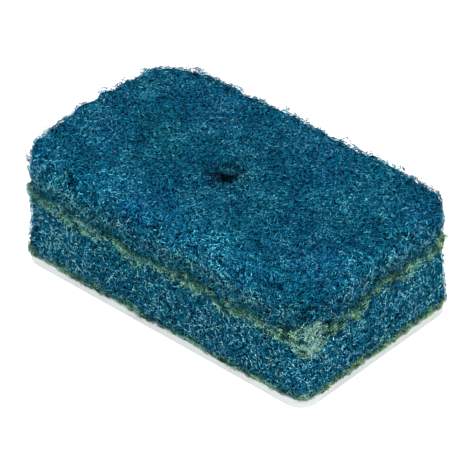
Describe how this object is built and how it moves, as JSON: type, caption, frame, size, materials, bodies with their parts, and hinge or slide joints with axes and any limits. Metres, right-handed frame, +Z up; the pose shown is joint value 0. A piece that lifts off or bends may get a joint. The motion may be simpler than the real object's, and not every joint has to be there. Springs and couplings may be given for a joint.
{
  "type": "scrub pad",
  "caption": "Rectangular scouring pad: stacked blocks of coarse blue nonwoven fibre, bonded to each other and to a thin plastic backing plate, with a small punched hole.",
  "frame": {"origin": "centre of the backing plate's underside", "axes": "+X along the pad's length, +Y across its width, +Z up from the plate through the fibre"},
  "size_m": [0.0844, 0.0524, 0.0298],
  "materials": {
    "plate_plastic": "pale, slightly milky moulded plastic",
    "bond_adhesive": "cured yellow-green adhesive soaked into the fibre",
    "scouring_fibre": "coarse curled synthetic fibre in a springy open web"
  },
  "bodies": {
    "root": {"backing_plate": "plate_plastic", "base_bond": "bond_adhesive", "lower_block": "scouring_fibre", "middle_bond": "bond_adhesive", "upper_block": "scouring_fibre"}
  },
  "joints": []
}
